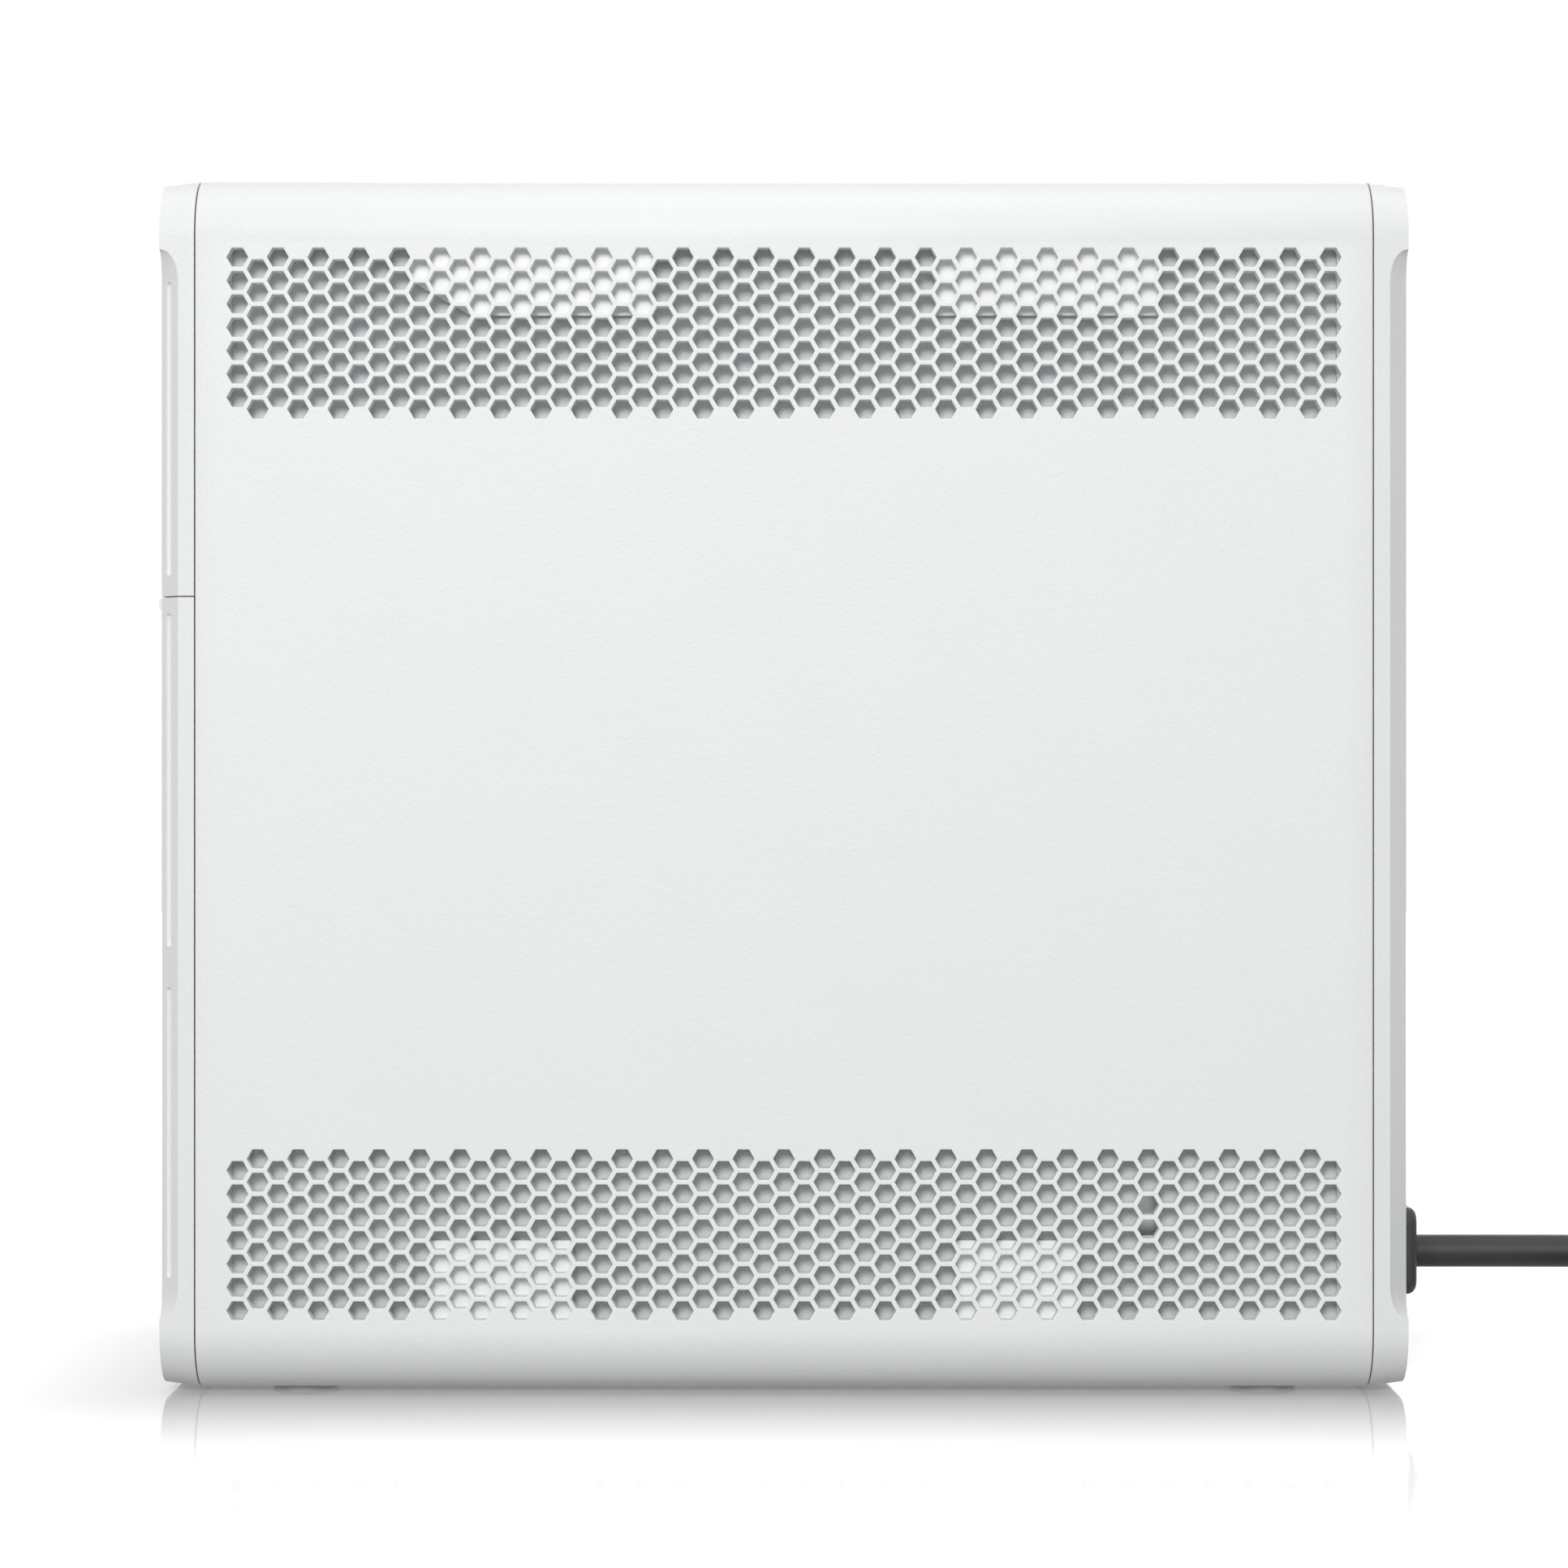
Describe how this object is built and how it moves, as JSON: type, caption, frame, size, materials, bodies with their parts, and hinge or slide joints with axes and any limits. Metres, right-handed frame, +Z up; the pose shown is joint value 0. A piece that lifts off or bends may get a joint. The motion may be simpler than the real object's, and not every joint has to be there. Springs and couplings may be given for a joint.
{
  "type": "wireless router",
  "caption": "Tower-shaped white wireless router with honeycomb side vents, a pull-off lower front door, rear fan and sockets, and a coiled black mains lead.",
  "frame": {"origin": "on the floor under the middle of the case, at the underside of the feet", "axes": "+Z up, front towards -X, mains inlet and sockets towards +X, vented sides towards -Y and +Y"},
  "size_m": [0.4985, 0.1597, 0.302],
  "materials": {
    "white_shell": "fine spark-eroded white moulding, satin",
    "white_cover": "fine textured white moulding, satin",
    "white_board": "white solder mask",
    "grey_screen": "light grey fine screen",
    "feet_rubber": "soft matt rubber",
    "panel_steel": "light powder coat",
    "tray_steel": "zinc-plated sheet",
    "screw_steel": "nickel-plated",
    "black_plastic": "black moulding",
    "fan_plastic": "black glass-filled moulding",
    "cord_jacket": "black flexible jacket, satin",
    "circuit_board": "green solder mask",
    "chip_black": "epoxy moulding",
    "heat_sink": "extruded, clear anodised",
    "can_steel": "tinned sheet",
    "copper": "bare copper",
    "contact_gold": "gold-plated",
    "clear_guide": "clear light guide",
    "light_chip": "light-emitting chip",
    "button_grey": "light grey moulding",
    "filter_foam": "open foam",
    "nylon": "natural nylon",
    "ferrite": "ferrite",
    "capacitor_sleeve": "shrunk sleeve",
    "strap": "woven hook-and-loop strap"
  },
  "bodies": {
    "case": {"outer_sleeve": "white_shell", "vent_grilles": "white_shell", "rubber_feet": "feet_rubber", "front_frame": "white_cover", "front_upper_cover": "white_cover", "door_catch_sockets": "nylon", "power_switch": "black_plastic", "front_switch_board": "circuit_board", "status_light_bar": "clear_guide", "status_lights": "light_chip", "rear_bezel": "white_cover", "rear_panel": "panel_steel", "case_screws": "screw_steel", "cover_screws": "screw_steel", "fan_screws": "screw_steel", "exhaust_fan_frame": "fan_plastic", "intake_fan_frame": "fan_plastic", "dust_screens": "grey_screen", "antenna_boards": "white_board", "antenna_elements": "copper", "chassis_tray": "tray_steel", "main_board": "circuit_board", "board_standoffs": "contact_gold", "board_screws": "screw_steel", "board_parts": "capacitor_sleeve", "processor": "chip_black", "processor_heat_sink": "heat_sink", "memory_chips": "chip_black", "shield_cans": "can_steel", "radio_board": "circuit_board", "lan_jacks": "can_steel", "wan_jack": "can_steel", "jack_contacts": "contact_gold", "button_switches": "black_plastic", "power_supply_case": "tray_steel", "power_board": "circuit_board", "transformer": "ferrite", "bulk_capacitors": "capacitor_sleeve", "power_heat_sinks": "heat_sink", "mains_choke": "copper", "power_inlet": "black_plastic", "inlet_pins": "contact_gold", "inlet_screws": "screw_steel", "inlet_leads": "cord_jacket", "supply_lead": "cord_jacket", "appliance_connector": "black_plastic", "power_cord": "cord_jacket", "cord_coil": "cord_jacket", "cord_tail": "cord_jacket", "cord_tie": "strap", "wall_plug": "black_plastic", "plug_blades": "contact_gold"},
    "front_door": {"front_lower_door": "white_cover", "door_filter": "filter_foam", "door_catch_studs": "nylon"},
    "exhaust_rotor": {"exhaust_fan_rotor": "fan_plastic"},
    "intake_rotor": {"intake_fan_rotor": "fan_plastic"},
    "front_button": {"power_button": "button_grey"},
    "rear_reset": {"reset_button": "button_grey"},
    "rear_sync": {"sync_button": "button_grey"}
  },
  "joints": [
    {"name": "front_door_pull", "type": "slide", "parent": "case", "child": "front_door", "axis": [-1, 0, 0], "range_m": [0, 0.04]},
    {"name": "exhaust_fan_spin", "type": "hinge", "parent": "case", "child": "exhaust_rotor", "pos_m": [0.1305, 0, 0.24], "axis": [1, 0, 0], "continuous": true},
    {"name": "intake_fan_spin", "type": "hinge", "parent": "case", "child": "intake_rotor", "pos_m": [-0.13045, 0, 0.1], "axis": [1, 0, 0], "continuous": true},
    {"name": "power_button_press", "type": "slide", "parent": "case", "child": "front_button", "axis": [1, 0, 0], "range_m": [0, 0.001], "stiffness_N_per_m": 1500},
    {"name": "reset_button_press", "type": "slide", "parent": "case", "child": "rear_reset", "axis": [-1, 0, 0], "range_m": [0, 0.0008], "stiffness_N_per_m": 1500},
    {"name": "sync_button_press", "type": "slide", "parent": "case", "child": "rear_sync", "axis": [-1, 0, 0], "range_m": [0, 0.0008], "stiffness_N_per_m": 1500}
  ]
}
